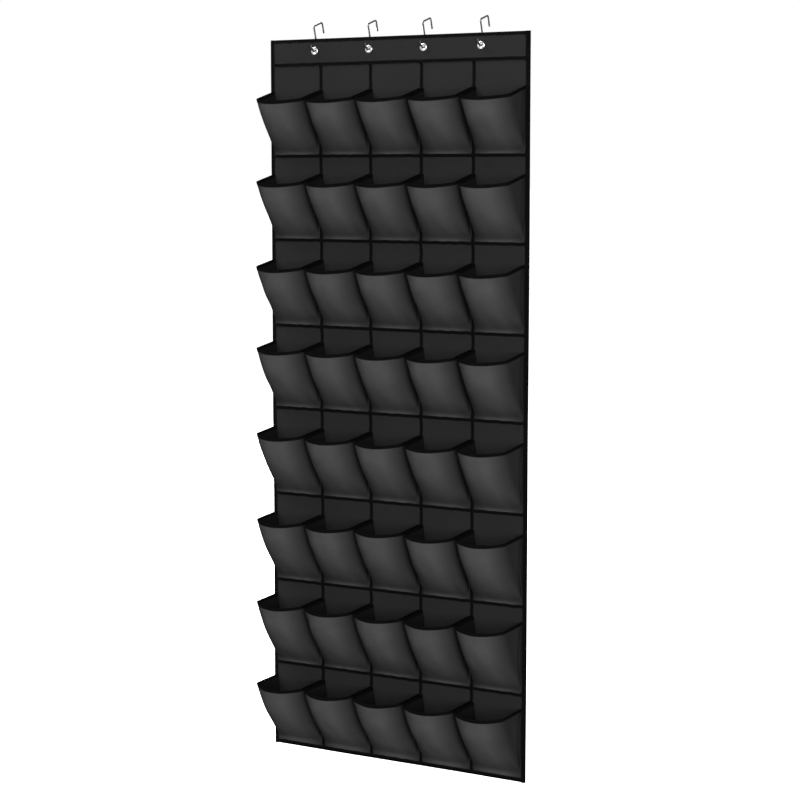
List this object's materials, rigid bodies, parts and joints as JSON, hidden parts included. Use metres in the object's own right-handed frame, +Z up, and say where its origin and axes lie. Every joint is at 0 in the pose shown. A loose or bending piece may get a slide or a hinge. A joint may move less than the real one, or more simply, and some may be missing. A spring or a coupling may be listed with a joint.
{
  "type": "over-the-door shoe organizer",
  "caption": "Black fabric over-the-door hanging shoe organizer: gusseted open-top pockets in rows on a bound back panel, with grommets and wire door hooks.",
  "frame": {"origin": "top front edge of the door that holds the hooks, midway between the hooks: Y 0 is the door's front face and Z 0 is the underside of the hook bars with the hooks upright", "axes": "+Z up along the panel, +X across the door to the right as seen from the room, -Y from the door towards the room, where the pockets open"},
  "size_m": [0.75, 0.1794, 1.9041],
  "materials": {
    "panel_fabric": "matte black woven fabric",
    "pocket_fabric": "matte black woven fabric, slightly lighter and smoother than the panel",
    "binding_tape": "deep black ribbed binding tape",
    "grommet_metal": "bright nickel plate",
    "hook_metal": "satin grey zinc-plated wire"
  },
  "bodies": {
    "organizer": {"back_panel": "panel_fabric", "header_band": "panel_fabric", "top_binding": "binding_tape", "left_binding": "binding_tape", "right_binding": "binding_tape", "bottom_binding": "binding_tape", "header_tape": "binding_tape", "row_tape_1": "binding_tape", "row_tape_2": "binding_tape", "row_tape_3": "binding_tape", "row_tape_4": "binding_tape", "row_tape_5": "binding_tape", "row_tape_6": "binding_tape", "row_tape_7": "binding_tape", "column_tape_1": "binding_tape", "column_tape_2": "binding_tape", "column_tape_3": "binding_tape", "column_tape_4": "binding_tape", "pocket_trim_1": "binding_tape", "pocket_trim_2": "binding_tape", "pocket_trim_3": "binding_tape", "pocket_trim_4": "binding_tape", "pocket_trim_5": "binding_tape", "pocket_trim_6": "binding_tape", "pocket_trim_7": "binding_tape", "pocket_trim_8": "binding_tape", "pocket_row_1": "pocket_fabric", "pocket_row_2": "pocket_fabric", "pocket_row_3": "pocket_fabric", "pocket_row_4": "pocket_fabric", "pocket_row_5": "pocket_fabric", "pocket_row_6": "pocket_fabric", "pocket_row_7": "pocket_fabric", "pocket_row_8": "pocket_fabric", "grommet_1": "grommet_metal", "grommet_2": "grommet_metal", "grommet_3": "grommet_metal", "grommet_4": "grommet_metal", "grommet_washer_1": "grommet_metal", "grommet_washer_2": "grommet_metal", "grommet_washer_3": "grommet_metal", "grommet_washer_4": "grommet_metal"},
    "hook_1": {"hook_1": "hook_metal"},
    "hook_2": {"hook_2": "hook_metal"},
    "hook_3": {"hook_3": "hook_metal"},
    "hook_4": {"hook_4": "hook_metal"}
  },
  "joints": [
    {"name": "hook_1_swing", "type": "hinge", "parent": "organizer", "child": "hook_1", "pos_m": [-0.24, -0.01525, -0.05875], "axis": [1, 0, 0], "range_deg": [-37, 0]},
    {"name": "hook_2_swing", "type": "hinge", "parent": "organizer", "child": "hook_2", "pos_m": [-0.079, -0.01525, -0.05875], "axis": [1, 0, 0], "range_deg": [-37, 0]},
    {"name": "hook_3_swing", "type": "hinge", "parent": "organizer", "child": "hook_3", "pos_m": [0.079, -0.01525, -0.05875], "axis": [1, 0, 0], "range_deg": [-37, 0]},
    {"name": "hook_4_swing", "type": "hinge", "parent": "organizer", "child": "hook_4", "pos_m": [0.24, -0.01525, -0.05875], "axis": [1, 0, 0], "range_deg": [-37, 0]}
  ]
}
